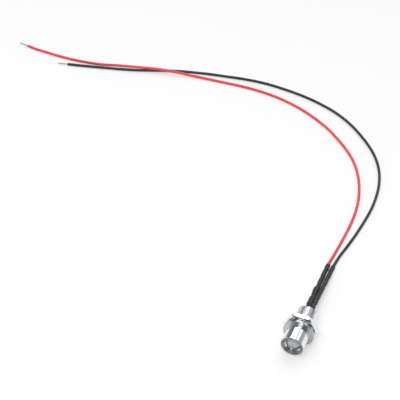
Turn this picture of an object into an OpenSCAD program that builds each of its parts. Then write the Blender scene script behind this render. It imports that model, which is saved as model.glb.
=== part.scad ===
// Prewired 5 mm through-hole LED in a chrome-plated metal panel holder.
// The lamp lies on a table: its axis is level, its front looks towards -Y and its leads leave towards +Y.
// The origin is the centre of the panel hole, on the flange's rear face. Lengths are millimetres.

/* [Holder] */
// Diameter of the smooth front collar
collar_d = 8.2; // [7.4:0.1:9.2]
// Length of the smooth collar, from the flange to the front rim
collar_len = 6.5; // [5.2:0.1:8]
// Width of the flange beyond the shank
flange_w = 1.6; // [1.4:0.05:2.4]
// Thickness of the flange
flange_t = 1.1; // [0.8:0.1:1.6]
// Wall of the shank, from the rear bore to the top of its thread
shank_wall = 0.8; // [0.7:0.05:1.2]
// Length of the shank, from the flange's rear face to its end
shank_len = 9; // [7.4:0.1:12]
// Depth of the dished ring round the lens
dish_depth = 1.1; // [0.8:0.1:1.6]
// Width of the flat land on the front rim
rim_land = 0.15; // [0.1:0.05:0.3]
// Clearance round the lens rim in the rear bore
rim_gap = 0.2; // [0.1:0.05:0.3]
// Width of the relief groove behind the flange
relief_w = 0.5; // [0.3:0.1:0.8]
// Depth of the relief groove
relief_depth = 0.25; // [0.1:0.05:0.4]
// Radius of the rounded edges of the collar and the flange
edge_r = 0.2; // [0.1:0.05:0.3]

/* [Washer and nut] */
// Thickness of the toothed lock washer's sheet
washer_t = 0.5; // [0.3:0.05:0.7]
// Width of the washer's plain inner band
washer_band = 0.65; // [0.5:0.05:0.8]
// Length of its teeth beyond that band
tooth_len = 0.7; // [0.5:0.05:0.8]
// Number of teeth on the washer
tooth_count = 12; // [8:1:14]
// Width of one tooth
tooth_w = 1.5; // [1:0.1:1.7]
// Twist of each tooth out of the sheet, in degrees
tooth_twist = 20; // [12:1:26]
// Thickness of the hex nut
nut_t = 2; // [1.5:0.1:2.6]
// Running clearance of the nut and washer round the shank
thread_gap = 0.04; // [0.02:0.01:0.1]

/* [Lamp] */
// Diameter of the lens body
lens_d = 5; // [4.2:0.1:5.2]
// Length of the lens, from its tip to its base
lens_len = 8.7; // [7.6:0.1:9.6]
// Width of the rim at the base of the lens, beyond the lens body
rim_w = 0.4; // [0.3:0.05:0.6]
// Thickness of that rim
lens_rim_t = 1; // [0.8:0.1:1.4]
// Distance from the front rim of the holder back to the tip of the lens
lens_set_back = 0.1; // [0:0.05:0.4]
// Distance between the centres of the two leads
lead_pitch = 2.54; // [2.3:0.02:2.7]
// Width and thickness of a lead
lead_w = 0.5; // [0.4:0.05:0.55]
// Turn of the lamp in its holder, in degrees
lamp_roll = 45; // [30:1:60]
// Distance from the tip of the lens back to the mouth of the reflector cup
cup_inset = 3.65; // [3:0.05:4]
// Diameter of the reflector cup
cup_d = 1.3; // [1.1:0.05:1.5]
// Width of the chip in the cup
chip_w = 0.3; // [0.25:0.01:0.35]
// Thickness of the chip
chip_t = 0.15; // [0.1:0.01:0.2]
// Thickness of the bush that retains the lamp
bush_t = 2; // [1.5:0.1:2.6]

/* [Resistor] */
// Diameter of the resistor's body
res_d = 1.7; // [1.5:0.05:1.8]
// Length of the resistor's body
res_len = 3.4; // [3:0.1:4]
// Thickness of its pressed end caps
res_cap_t = 0.08; // [0.06:0.01:0.12]
// Length of an end cap
res_cap_len = 0.8; // [0.6:0.05:1]
// Diameter of its leads
res_lead_d = 0.4; // [0.35:0.01:0.45]

/* [Sleeves] */
// Length of each shrunk sleeve
sleeve_len = 35; // [33:1:38]
// Wall of a shrunk sleeve
sleeve_wall = 0.24; // [0.2:0.01:0.3]
// Clearance inside the sleeves
sleeve_gap = 0.03; // [0.02:0.01:0.05]
// Thickness of the solder over the corners of a lead
solder_t = 0.05; // [0.03:0.01:0.08]
// Length of a soldered joint
joint_len = 2.8; // [2.4:0.1:3.2]

/* [Wires] */
// Diameter over the wire's insulation
wire_d = 1.1; // [0.9:0.05:1.15]
// Diameter of the tinned strands
strand_d = 0.5; // [0.4:0.02:0.55]
// Length of the bare, tinned end
bare_len = 4; // [3:0.5:6]

/* [Hidden] */
$fn = 64;
// Gap left between pieces that seat in each other
seat_gap = 0.03;
// Height of the sleeves' mouths over the table
lay_gap = 0.02;
// Overlap that keeps a cut clean
cut = 0.1;
// Sides of a wire's tube
wire_sides = 8;

// Diameters that follow from the lens outwards: its rim, the rear bore, the shank, the flange and the nut
lens_rim_d = lens_d + 2 * rim_w;
lens_bore_d = lens_d + 4 * seat_gap;
rear_bore_d = lens_rim_d + 2 * rim_gap;
shank_d = rear_bore_d + 2 * shank_wall;
nut_bore_d = shank_d + 2 * thread_gap;
flange_d = shank_d + 2 * flange_w;
nut_af = flange_d;
floor_z = -flange_d / 2;

// Places along the lamp's axis, measured towards the rear from the flange's rear face
front_z = -flange_t - collar_len;
tip_z = front_z + lens_set_back;
base_z = tip_z + lens_len;
seat_z = base_z - lens_rim_t;
bush_z = base_z + seat_gap;
bush_end_z = bush_z + bush_t;
washer_h = tooth_w * sin(tooth_twist) + washer_t * cos(tooth_twist);
nut_z = washer_h + 2 * seat_gap;

// The lead frame inside the lens
cup_z = tip_z + cup_inset;
cup_h = 0.8;
cup_floor = 0.45;
cup_lip = 0.125;
cup_slope = 0.2;
cup_mouth_d = cup_d - 2 * cup_lip;
cup_floor_d = cup_mouth_d - 2 * cup_slope;
flag_z = cup_z + cup_h;
flag_h = 1.3;
flag_shoulder = 0.3;
post_z = cup_z + 0.1;
post_w = 0.5;
lead_x = lead_pitch / 2;
bond_d = 0.08;

// Places along each sleeve, measured from its front end
lead_offset = (lead_w + res_lead_d) / 2 + seat_gap;
wire_offset = (strand_d + res_lead_d) / 2 + seat_gap;
black_offset = (strand_d + lead_w) / 2 + seat_gap;
bend_len = 1;
bend_gap = 0.2;
lap = 0.4 * joint_len;
sleeve_start_y = bush_end_z + 0.8;
swell_flank = 1.5;
cathode_end_s = 4.1;
black_joint_s = cathode_end_s - lap;
black_root_s = cathode_end_s - 2 * lap;
black_wire_s = black_joint_s + joint_len / 2 + 1.6;
anode_joint_s = shank_len - sleeve_start_y + swell_flank + joint_len / 2 + 0.1;
anode_end_s = anode_joint_s + lap;
res_s = anode_end_s + 2.4;
res_end_s = res_s + res_len;
red_root_s = res_end_s + 3;
red_joint_s = red_root_s + lap;
red_wire_s = red_joint_s + joint_len / 2 + 0.8;

// The soldered joints: their thickness covers the corners of the thicker pair
corner_reach = norm([black_offset / 2 + lead_w / 2, lead_w / 2]);
joint_d = 2 * (corner_reach + solder_t);
res_cap_d = res_d + 2 * res_cap_t;

// Radius of a sleeve where it covers only a wire or a lead, and what it swells by over thicker things
sleeve_r = wire_d / 2 + sleeve_gap + sleeve_wall;
joint_swell = (joint_d + max(lead_offset, wire_offset, black_offset) - wire_d) / 2;
res_swell = (res_cap_d - wire_d) / 2;

// Where the sleeves begin, behind the bush, and where their mouths lie on the table
mouth_z = floor_z + sleeve_r + lay_gap;
red_start = [-lead_x * cos(lamp_roll), sleeve_start_y, -lead_x * sin(lamp_roll)];
black_start = [lead_x * cos(lamp_roll), sleeve_start_y, lead_x * sin(lamp_roll)];
red_mouth_x = -2.4;
black_mouth_x = -0.4;
red_mouth = mouth(red_start, red_mouth_x);
black_mouth = mouth(black_start, black_mouth_x);

// The wires' routes over the table from the sleeves' mouths: x, y, and the height that a stretch is lifted
red_route = [
    [-2.1, 45.5, 0], [-1.8, 51.5, 0], [-1.6, 57.5, 0], [-1.6, 63.5, 0], [-2, 69.5, 0], [-2.9, 75.5, 0],
    [-4.4, 81.2, 0], [-6.4, 86.8, 0], [-9.1, 92.2, 0], [-12.4, 97.2, 0], [-16.4, 101.7, 0],
    [-20.8, 105.8, 0], [-25.4, 109.6, 0], [-30.3, 112.9, 0], [-35.6, 115.8, 0], [-41.1, 118.3, 0],
    [-46.7, 120.2, 0], [-52.6, 121.6, 0], [-58.5, 122.4, 0], [-64.5, 122.7, 0], [-70.5, 122.6, 0],
    [-76.5, 122.3, 0], [-82.5, 121.9, 0.1], [-88.4, 121.3, 0.4], [-94.4, 120.5, 0.9], [-100.3, 119.5, 1.2],
    [-106.2, 118.3, 1.2], [-112, 116.9, 1.2], [-117.9, 115.7, 1], [-123.8, 114.8, 0.4], [-129.8, 114.2, 0.1],
    [-135.8, 113.9, 0], [-141.8, 113.9, 0], [-147.8, 114.3, 0], [-153.7, 114.8, 0], [-157, 115.4, 0]];
black_route = [
    [0, 45, 0], [0.9, 50.5, 0], [1.7, 56, 0], [2.3, 61.5, 0], [2.8, 67.5, 0], [3, 73.5, 0], [2.7, 79.5, 0],
    [1.9, 85.4, 0], [0.4, 91.2, 0], [-1.9, 96.8, 0], [-5, 102, 0], [-8.8, 106.7, 0], [-13.1, 111, 0],
    [-17.7, 115, 0], [-22.7, 118.5, 0], [-28.1, 121.4, 0], [-33.8, 123.6, 0], [-39.6, 125.3, 0],
    [-45.5, 126.5, 0], [-51.4, 127.3, 0], [-57.4, 127.8, 0], [-63.4, 127.7, 0], [-69.4, 127.1, 0],
    [-75.3, 126.2, 0], [-81.2, 125.3, 0], [-87.1, 124.1, 0], [-93, 122.7, 0], [-98.8, 120.9, 0],
    [-104.5, 118.8, 0], [-110.2, 116.8, 0], [-116, 115.2, 0], [-121.8, 113.8, 0], [-127.6, 112.4, 0],
    [-133.5, 111.1, 0], [-137, 110.4, 0]];

function unit(v) = v / norm(v);

// The centre of a sleeve's mouth: as far along the table as the sleeve's length reaches
function mouth(start, mouth_x) =
    let (dx = mouth_x - start[0], dz = mouth_z - start[2])
    [mouth_x, start[1] + sqrt(sleeve_len * sleeve_len - dx * dx - dz * dz), mouth_z];

// The point on a sleeve's axis at the distance s from its front end
function on_sleeve(start, mouth, s) = start + unit(mouth - start) * s;

// A wire's own points: straight through its sleeve and a little beyond, then over the table
function wire_path(start, mouth, from_s, route) =
    let (to_s = sleeve_len + 0.4)
    concat([for (s = [from_s, (from_s + to_s) / 2, to_s]) on_sleeve(start, mouth, s)],
           [for (p = route) [p[0], p[1], floor_z + wire_d / 2 + p[2]]]);

red_path = wire_path(red_start, red_mouth, red_wire_s, red_route);
black_path = wire_path(black_start, black_mouth, black_wire_s, black_route);

// A smooth bump of height 1 round its centre, which fades to 0 over the flank past its flat top
function bump(s, centre, top_len) =
    let (d = abs(s - centre) - top_len / 2)
    d <= 0 ? 1 : d >= swell_flank ? 0 : (1 + cos(180 * d / swell_flank)) / 2;

function red_sleeve_r(s) = sleeve_r
    + max(joint_swell * bump(s, anode_joint_s, joint_len),
          res_swell * bump(s, (res_s + res_end_s) / 2, res_len),
          joint_swell * bump(s, red_joint_s, joint_len));

function black_sleeve_r(s) = sleeve_r + joint_swell * bump(s, black_joint_s, joint_len);

// Points of a quarter turn with its middle at (x, y), from angle a0 to a1
function arc(x, y, r, a0, a1) =
    [for (k = [0:4]) let (a = a0 + (a1 - a0) * k / 4) [x + r * cos(a), y + r * sin(a)]];

// Turns a piece that was drawn along +Z so that it runs towards the rear, +Y
module along_lamp() rotate([-90, 0, 0]) children();

// The same, turned with the lamp in its holder
module in_lamp() along_lamp() rotate([0, 0, -lamp_roll]) children();

// Puts a piece that was drawn along +Z on the line from one point to another
module aim(from, to) {
    d = to - from;
    translate(from) rotate([0, acos(d[2] / norm(d)), atan2(d[1], d[0])]) children();
}

// The same along each sleeve, with what it holds turned as the lamp is
module in_red_sleeve() aim(red_start, red_mouth) rotate([0, 0, -lamp_roll]) children();

module in_black_sleeve() aim(black_start, black_mouth) rotate([0, 0, -lamp_roll]) children();

// A round lead with a step aside: straight at x = -offset from z0 to z_bend, slanting over bend_len to
// the axis, then straight to z1. Each rod runs a little past its bend, so that the kinks are full.
module stepped_lead(z0, z_bend, z1, offset, d) {
    past = 0.2 * d;
    low = [-offset, 0, z_bend];
    high = [0, 0, z_bend + bend_len];
    slant = unit(high - low) * past;
    translate([-offset, 0, z0]) cylinder(d = d, h = z_bend + past - z0);
    aim(low - slant, high + slant) cylinder(d = d, h = norm(high - low) + 2 * past);
    translate([0, 0, high[2] - past]) cylinder(d = d, h = z1 - high[2] + past);
}

// A wire's insulation: one ring of corners at each point of its path
module wire_tube(path) {
    last = len(path) - 1;
    n = wire_sides;
    rings = [for (k = [0:last])
        let (t = unit(path[min(k + 1, last)] - path[max(k - 1, 0)]),
             side = unit(cross(t, [0, 0, 1])),
             up = cross(side, t))
        for (i = [0:n - 1]) let (a = (i + 0.5) * 360 / n)
            path[k] + wire_d / 2 * (side * cos(a) + up * sin(a))];
    walls = [for (k = [0:last - 1], i = [0:n - 1])
        [k * n + i, k * n + (i + 1) % n, (k + 1) * n + (i + 1) % n, (k + 1) * n + i]];
    first_cap = [[for (i = [n - 1:-1:0]) i]];
    last_cap = [[for (i = [0:n - 1]) last * n + i]];
    polyhedron(points = rings, faces = concat(walls, first_cap, last_cap), convexity = 10);
}

// The bead of a soldered joint: a spindle as thick as joint_d, centred on the height z between its two leads
module bead(z, offset) {
    bulge_r = (joint_len * joint_len / 4 + joint_d * joint_d / 4) / joint_d;
    translate([-offset / 2, 0, z]) rotate_extrude()
        intersection() {
            translate([joint_d / 2 - bulge_r, 0]) circle(r = bulge_r, $fn = 128);
            translate([0, -joint_len / 2]) square([joint_d, joint_len]);
        }
}

// A shrunk sleeve: a wall that follows what it covers
module sleeve(kind) {
    step = 0.7;
    steps = round(sleeve_len / step);
    outer = [for (k = [0:steps])
        let (s = sleeve_len * k / steps) [kind == "red" ? red_sleeve_r(s) : black_sleeve_r(s), s]];
    inner = [for (k = [steps:-1:0]) outer[k] - [sleeve_wall, 0]];
    rotate_extrude() polygon(concat(outer, inner));
}

// The turned holder: dished rim, smooth collar, flange and shank round a stepped bore
module bezel_body() color([0.86, 0.87, 0.89]) along_lamp() {
    collar_r = collar_d / 2;
    flange_r = flange_d / 2;
    shank_r = shank_d / 2;
    rear_bore_r = rear_bore_d / 2;
    dish_r = collar_r - edge_r - rim_land;
    end_chamfer = 0.35;
    bore_chamfer = 0.15;
    neck_w = 0.15;
    neck_depth = 0.12;
    rotate_extrude() polygon(concat(
        [[lens_bore_d / 2, seat_z - seat_gap], [lens_bore_d / 2, front_z + dish_depth], [dish_r, front_z]],
        arc(collar_r - edge_r, front_z + edge_r, edge_r, -90, 0),
        [[collar_r, -flange_t - 2 * neck_w], [collar_r - neck_depth, -flange_t - neck_w],
         [collar_r - neck_depth, -flange_t]],
        arc(flange_r - edge_r, edge_r - flange_t, edge_r, -90, 0),
        arc(flange_r - edge_r, -edge_r, edge_r, 0, 90),
        [[shank_r - relief_depth, 0], [shank_r - relief_depth, relief_w], [shank_r, relief_w + relief_depth],
         [shank_r, shank_len - end_chamfer], [shank_r - end_chamfer, shank_len],
         [rear_bore_r + bore_chamfer, shank_len], [rear_bore_r, shank_len - bore_chamfer],
         [rear_bore_r, seat_z - seat_gap]]));
}

// The toothed lock washer between flange and nut: every tooth is twisted out of the sheet
module star_washer() color([0.62, 0.63, 0.66]) along_lamp() translate([0, 0, seat_gap + washer_h / 2]) {
    band_r = nut_bore_d / 2 + washer_band;
    difference() {
        cylinder(r = band_r, h = washer_t, center = true);
        cylinder(d = nut_bore_d, h = washer_t + 2 * cut, center = true);
    }
    for (k = [0:tooth_count - 1])
        rotate([0, 0, k * 360 / tooth_count]) translate([band_r - cut, 0, 0]) rotate([tooth_twist, 0, 0])
            translate([0, -tooth_w / 2, -washer_t / 2]) cube([tooth_len + cut, tooth_w, washer_t]);
}

// The hex nut, with its corners turned off on both faces
module hex_nut() color([0.88, 0.89, 0.9]) along_lamp() translate([0, 0, nut_z]) {
    corner_r = nut_af / 2 / cos(30);
    face_inset = 0.15;
    face_r = nut_af / 2 - face_inset;
    drop = (corner_r - face_r) * tan(30);
    difference() {
        intersection() {
            cylinder(r = corner_r, h = nut_t, $fn = 6);
            rotate_extrude() polygon([[0, 0], [face_r, 0], [corner_r, drop], [corner_r, nut_t - drop],
                                      [face_r, nut_t], [0, nut_t]]);
        }
        translate([0, 0, -cut]) cylinder(d = nut_bore_d, h = nut_t + 2 * cut);
    }
}

// The plastic bush that keeps the lamp in the bore, with a hole for each lead
module retaining_bush() color([0.09, 0.09, 0.1]) in_lamp() translate([0, 0, bush_z]) difference() {
    cylinder(d = rear_bore_d - 2 * seat_gap, h = bush_t);
    for (x = [-lead_x, lead_x]) translate([x, 0, bush_t / 2])
        cube([lead_w + 2 * seat_gap, lead_w + 2 * seat_gap, bush_t + 2 * cut], center = true);
}

// Outline of the cathode's part inside the lens: a lead that widens to the flag under the cup
module cathode_outline() polygon([
    [lead_x + lead_w / 2, base_z], [lead_x + lead_w / 2, flag_z + flag_shoulder], [lead_x, flag_z],
    [-cup_d / 2, flag_z], [-cup_d / 2, flag_z + 0.5 * flag_h], [lead_x - lead_w / 2, flag_z + flag_h],
    [lead_x - lead_w / 2, base_z]]);

// Outline of the anode's part inside the lens: a lead with a short post beside the cup
module anode_outline() polygon([
    [-lead_x - lead_w / 2, base_z], [-lead_x - lead_w / 2, post_z], [-lead_x - lead_w / 2 + post_w, post_z],
    [-lead_x - lead_w / 2 + post_w, flag_z + flag_shoulder], [-lead_x + lead_w / 2, flag_z + flag_h],
    [-lead_x + lead_w / 2, base_z]]);

// A sheet of the lead frame's thickness, standing along the lamp's axis
module frame_sheet() rotate([90, 0, 0]) linear_extrude(lead_w, center = true) children();

module cathode_frame() {
    frame_sheet() cathode_outline();
    difference() {
        translate([0, 0, cup_z]) cylinder(d = cup_d, h = cup_h + flag_h / 4);
        translate([0, 0, cup_z]) rotate_extrude() polygon([[0, -cut], [cup_mouth_d / 2, -cut],
            [cup_mouth_d / 2, 0], [cup_floor_d / 2, cup_floor], [0, cup_floor]]);
    }
}

module chip_block() translate([0, 0, cup_z + cup_floor - chip_t / 2])
    cube([chip_w, chip_w, chip_t], center = true);

// The bond wire: up from the chip, half a turn, and down to the top of the post
module bond_arc() {
    post_x = -lead_x - lead_w / 2 + post_w / 2;
    chip_z = cup_z + cup_floor - chip_t;
    arc_z = 2 * cup_z - post_z;
    translate([0, 0, arc_z]) cylinder(d = bond_d, h = chip_z - arc_z);
    translate([post_x, 0, arc_z]) cylinder(d = bond_d, h = post_z - arc_z);
    translate([post_x / 2, 0, arc_z]) rotate([90, 0, 0]) rotate([0, 0, 180])
        rotate_extrude(angle = 180) translate([-post_x / 2, 0]) circle(d = bond_d);
}

// A lead of the lamp between its lens and its sleeve, straight through the bush
module bush_stretch(x) translate([x - lead_w / 2, -lead_w / 2, base_z])
    cube([lead_w, lead_w, sleeve_start_y - base_z]);

// The rest of that lead, along the axis of its sleeve
module sleeve_stretch(end_s) translate([-lead_w / 2, -lead_w / 2, -lead_w / 2])
    cube([lead_w, lead_w, end_s + lead_w / 2]);

module cathode_lead() color([0.75, 0.76, 0.78]) {
    in_lamp() {
        cathode_frame();
        bush_stretch(lead_x);
    }
    in_black_sleeve() sleeve_stretch(cathode_end_s);
}

module anode_lead() color([0.75, 0.76, 0.78]) {
    in_lamp() {
        frame_sheet() anode_outline();
        bush_stretch(-lead_x);
    }
    in_red_sleeve() sleeve_stretch(anode_end_s);
}

module led_chip() color([0.9, 0.85, 0.4]) in_lamp() chip_block();

module bond_wire() color([0.85, 0.65, 0.25]) in_lamp() bond_arc();

// The clear lens, cast round the lead frame: dome, body and rim with its flat beside the cathode
module led_lens() color([0.9, 0.92, 0.94, 0.4]) in_lamp() difference() {
    flat_step = 0.05;
    union() {
        translate([0, 0, tip_z + lens_d / 2]) sphere(d = lens_d);
        translate([0, 0, tip_z + lens_d / 2]) cylinder(d = lens_d, h = lens_len - lens_d / 2);
        intersection() {
            translate([0, 0, seat_z]) cylinder(d = lens_rim_d, h = lens_rim_t);
            translate([-lens_rim_d, -lens_rim_d, seat_z - cut])
                cube([lens_rim_d + lens_d / 2 + flat_step, 2 * lens_rim_d, lens_rim_t + 2 * cut]);
        }
    }
    cathode_frame();
    frame_sheet() anode_outline();
    chip_block();
    bond_arc();
}

module resistor_body() color([0.35, 0.55, 0.75]) in_red_sleeve() translate([0, 0, res_s + res_cap_len])
    cylinder(d = res_d, h = res_len - 2 * res_cap_len);

// A pressed cap on each end of the resistor
module end_cap() {
    edge = 0.25;
    rotate_extrude() polygon([[0, 0], [res_cap_d / 2 - edge, 0], [res_cap_d / 2, edge],
                              [res_cap_d / 2, res_cap_len], [0, res_cap_len]]);
}

module resistor_caps() color([0.4, 0.6, 0.8]) in_red_sleeve() {
    translate([0, 0, res_s]) end_cap();
    translate([0, 0, res_end_s]) mirror([0, 0, 1]) end_cap();
}

// The resistor's leads: each steps aside to lie against the lead or the wire that it is soldered to
module resistor_front_lead() color([0.78, 0.78, 0.8]) in_red_sleeve()
    stepped_lead(anode_end_s - 2 * lap, anode_end_s + bend_gap, res_s, lead_offset, res_lead_d);

module resistor_rear_lead() color([0.78, 0.78, 0.8]) in_red_sleeve() mirror([0, 0, 1])
    stepped_lead(-red_root_s - 2 * lap, -red_root_s + bend_gap, -res_end_s, wire_offset, res_lead_d);

module anode_joint() color([0.7, 0.71, 0.73]) difference() {
    in_red_sleeve() bead(anode_joint_s, lead_offset);
    in_red_sleeve() sleeve_stretch(anode_end_s);
    resistor_front_lead();
}

module red_wire_joint() color([0.7, 0.71, 0.73]) difference() {
    in_red_sleeve() bead(red_joint_s, wire_offset);
    red_wire_root();
    resistor_rear_lead();
}

module black_wire_joint() color([0.7, 0.71, 0.73]) difference() {
    in_black_sleeve() bead(black_joint_s, black_offset);
    in_black_sleeve() sleeve_stretch(cathode_end_s);
    black_wire_root();
}

module red_sleeve() color([0.07, 0.07, 0.08]) in_red_sleeve() sleeve("red");

module black_sleeve() color([0.07, 0.07, 0.08]) in_black_sleeve() sleeve("black");

// The stripped strands inside each sleeve, up to the face of the insulation
module red_wire_root() color([0.8, 0.8, 0.82]) in_red_sleeve() translate([0, 0, red_root_s])
    cylinder(d = strand_d, h = red_wire_s - red_root_s);

module black_wire_root() color([0.8, 0.8, 0.82]) in_black_sleeve()
    stepped_lead(black_root_s, cathode_end_s + bend_gap, black_wire_s, black_offset, strand_d);

module red_wire() color([0.85, 0.12, 0.14]) wire_tube(red_path);

module black_wire() color([0.08, 0.08, 0.09]) wire_tube(black_path);

// The bare, tinned strands at the end of a wire
module wire_tip(path) {
    last = len(path) - 1;
    aim(path[last], path[last] + (path[last] - path[last - 1])) cylinder(d = strand_d, h = bare_len);
}

module red_wire_tip() color([0.8, 0.8, 0.82]) wire_tip(red_path);

module black_wire_tip() color([0.8, 0.8, 0.82]) wire_tip(black_path);

bezel_body();
star_washer();
hex_nut();
retaining_bush();
led_lens();
cathode_lead();
anode_lead();
led_chip();
bond_wire();
resistor_body();
resistor_caps();
resistor_front_lead();
resistor_rear_lead();
anode_joint();
red_wire_joint();
black_wire_joint();
red_sleeve();
black_sleeve();
red_wire_root();
black_wire_root();
red_wire();
black_wire();
red_wire_tip();
black_wire_tip();
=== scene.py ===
# %% [markdown]
# # A prewired LED in a chrome-plated panel holder
#
# The lamp is a clear 5 mm LED that sits in a turned and chrome-plated brass holder. A toothed washer and a
# hex nut clamp the holder in a panel. The LED's two legs are soldered to a red and a black wire, and shrunk
# sleeves cover the joints. The lamp lies on a table: its axis runs along Y, its front looks towards -Y, and
# the wires leave towards +Y and curve away over the table.
#
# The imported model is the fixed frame. Everything here is drawn round it, in metres and in the same place.

# %% The frame
import math

import bpy
import numpy as np
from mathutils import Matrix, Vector


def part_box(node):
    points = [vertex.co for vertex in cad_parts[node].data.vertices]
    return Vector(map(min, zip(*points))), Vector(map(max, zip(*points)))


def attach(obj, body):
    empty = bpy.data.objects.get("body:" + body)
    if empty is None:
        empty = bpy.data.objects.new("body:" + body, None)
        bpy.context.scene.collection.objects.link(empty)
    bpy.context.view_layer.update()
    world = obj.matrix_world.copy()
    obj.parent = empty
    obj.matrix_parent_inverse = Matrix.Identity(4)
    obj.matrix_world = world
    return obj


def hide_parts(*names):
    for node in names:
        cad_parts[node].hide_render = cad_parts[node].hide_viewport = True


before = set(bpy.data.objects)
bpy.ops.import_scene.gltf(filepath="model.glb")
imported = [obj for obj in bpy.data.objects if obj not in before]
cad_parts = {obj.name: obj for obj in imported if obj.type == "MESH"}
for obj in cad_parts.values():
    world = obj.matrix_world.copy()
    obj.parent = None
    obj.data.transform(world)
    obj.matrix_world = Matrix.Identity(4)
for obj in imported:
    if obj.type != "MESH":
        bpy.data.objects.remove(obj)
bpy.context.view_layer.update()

MM = 0.001

# %% [markdown]
# ## The sizes that everything follows
#
# A product's drawing gives a few driving sizes, and the rest follows from them. Some are read here from the
# boxes of the frame's nodes, so that a piece of this file can't drift away from the solid that it dresses.
# The others are sizes of the holder, the lamp and the wires that a box doesn't show. All of them are
# millimetres: the meshes turn them into metres at the end.

# %% Sizes of the holder, the lamp and the wires
def span(node, axis):
    """The lowest and highest coordinate of a node along one axis, in millimetres."""
    low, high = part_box(node)
    return low[axis] / MM, high[axis] / MM


FRONT_Y, SHANK_END_Y = span("bezel_body", 1)
NUT_Y0, NUT_Y1 = span("hex_nut", 1)
TIP_Y, BASE_Y = span("led_lens", 1)
FLOOR_Z = span("bezel_body", 2)[0]
FLANGE_R = -FLOOR_Z
NUT_FLAT_R = FLANGE_R
COLLAR_R = 4.1
SHANK_R = 3.9
REAR_BORE_R = 3.1
FRONT_BORE_R = 2.56
FLANGE_T = 1.1
SEAT_Y = 0.17
LENS_R = 2.5
LENS_RIM_R = 2.9
LENS_RIM_T = 1.0
LAMP_ROLL = math.radians(45)
LEAD_X = 1.27
SLEEVE_START_Y = 4.03
SLEEVE_LEN = 35.0
SLEEVE_WALL = 0.24
SLEEVE_R = 0.82
WIRE_R = 0.55
STRAND_R = 0.25
BARE_LEN = 4.0
print("holder from y", round(FRONT_Y, 2), "to", round(SHANK_END_Y, 2), "mm, table at z", round(FLOOR_Z, 2))

# %% [markdown]
# ## The camera
#
# The photograph looks down on the lamp from the front and a little from the right, at about 46 degrees. The
# camera stands where the photograph's camera stood, so that lengths shrink with distance as they do there.
# A longer lens fills the picture with the lamp and its two wires.

# %% Camera
CAMERA_AT = Vector((0.13194, -0.42956, 0.47190))
CAMERA_AIM = Vector((-0.058, 0.055, -0.0055))
LENS_MM = 170.86
scene = bpy.context.scene


def added(name, data):
    """A new object with that data, put into the scene."""
    made = bpy.data.objects.new(name, data)
    scene.collection.objects.link(made)
    return made


def aimed(name, data, place, aim):
    """A camera or a lamp at a place, turned to face the aim. Both are metres."""
    made = added(name, data)
    made.location = place
    made.rotation_mode = "QUATERNION"
    made.rotation_quaternion = (Vector(aim) - Vector(place)).to_track_quat("-Z", "Y")
    return made


camera = aimed("camera", bpy.data.cameras.new("camera"), CAMERA_AT, CAMERA_AIM)
camera.data.sensor_width = 36
camera.data.lens = LENS_MM
scene.camera = camera
print("camera to object:", round((CAMERA_AIM - CAMERA_AT).length, 3), "m")

# %% [markdown]
# ## Surfaces from grids
#
# Every new piece here is a grid of points: rows along the piece and columns round it. The columns always
# close into a ring. The rows either close too, as on a part with a hole right through it, or they end in
# two poles, as on a wire. The points are worked out as one numpy array, and a few index arrays say which
# four of them make a face. Ready-made primitives would need many edits, and leave no formula to read.

# %% A mesh from a grid
def surface(name, grid, poles=None, sharp=35, **attributes):
    """A closed mesh from grid[row, column] = (x, y, z) in millimetres.

    The faces join each point with its neighbours to the right and below. Without poles the last row joins
    the first. With them, a fan of triangles closes each end. The volume is the sum of the tetrahedra from the
    origin to each face: where it is negative the faces look inwards, and their order is turned round.
    """
    rows, columns = grid.shape[:2]
    index = np.arange(rows * columns).reshape(rows, columns)
    right = np.roll(index, -1, axis=1)
    if poles is None:
        quads = np.stack((index, right, np.roll(right, -1, axis=0), np.roll(index, -1, axis=0)), axis=-1)
    else:
        quads = np.stack((index[:-1], right[:-1], right[1:], index[1:]), axis=-1)
    points = grid.reshape(-1, 3)
    quads = quads.reshape(-1, 4)
    triangles = np.empty((0, 3), int)
    if poles is not None:
        first, last = len(points), len(points) + 1
        points = np.vstack((points, poles[0], poles[1]))
        start = np.stack((right[0], index[0], np.full(columns, first)), axis=-1)
        end = np.stack((index[-1], right[-1], np.full(columns, last)), axis=-1)
        triangles = np.vstack((start, end))
    halves = np.vstack((quads[:, [0, 1, 2]], quads[:, [0, 2, 3]], triangles))
    a, b, c = (points[halves[:, k]] for k in range(3))
    volume = np.einsum("ij,ij->i", a, np.cross(b, c)).sum() / 6
    if volume < 0:
        quads = quads[:, ::-1]
        triangles = triangles[:, ::-1]
    mesh = bpy.data.meshes.new(name)
    mesh.from_pydata((points * MM).tolist(), [], quads.tolist() + triangles.tolist())
    for key, values in attributes.items():
        values = values.reshape(-1, 3)
        if poles is not None:
            values = np.vstack((values, values[:columns].mean(axis=0), values[-columns:].mean(axis=0)))
        layer = mesh.attributes.new(key, "FLOAT_VECTOR", "POINT")
        layer.data.foreach_set("vector", values.astype(np.float32).ravel())
    mesh.shade_smooth()
    mesh.set_sharp_from_angle(angle=math.radians(sharp))
    made = added(name, mesh)
    print(f"{name}: {len(halves)} triangles, {abs(volume):.1f} cubic mm")
    return made


def angles(columns):
    """The angle of each column, in even steps round the ring."""
    return np.arange(columns) * 2 * np.pi / columns


def turn(radius, height, columns):
    """Points of a turned form round the Y axis: radius and height say where each row lies, in millimetres.

    The radius may also change round the axis, as on a thread. The angle runs from X towards Z.
    """
    angle = angles(columns)
    radius, height = (v if v.ndim == 2 else v[:, None] + 0 * angle for v in (radius, height))
    return np.stack((radius * np.cos(angle), height, radius * np.sin(angle)), axis=-1)


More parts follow.
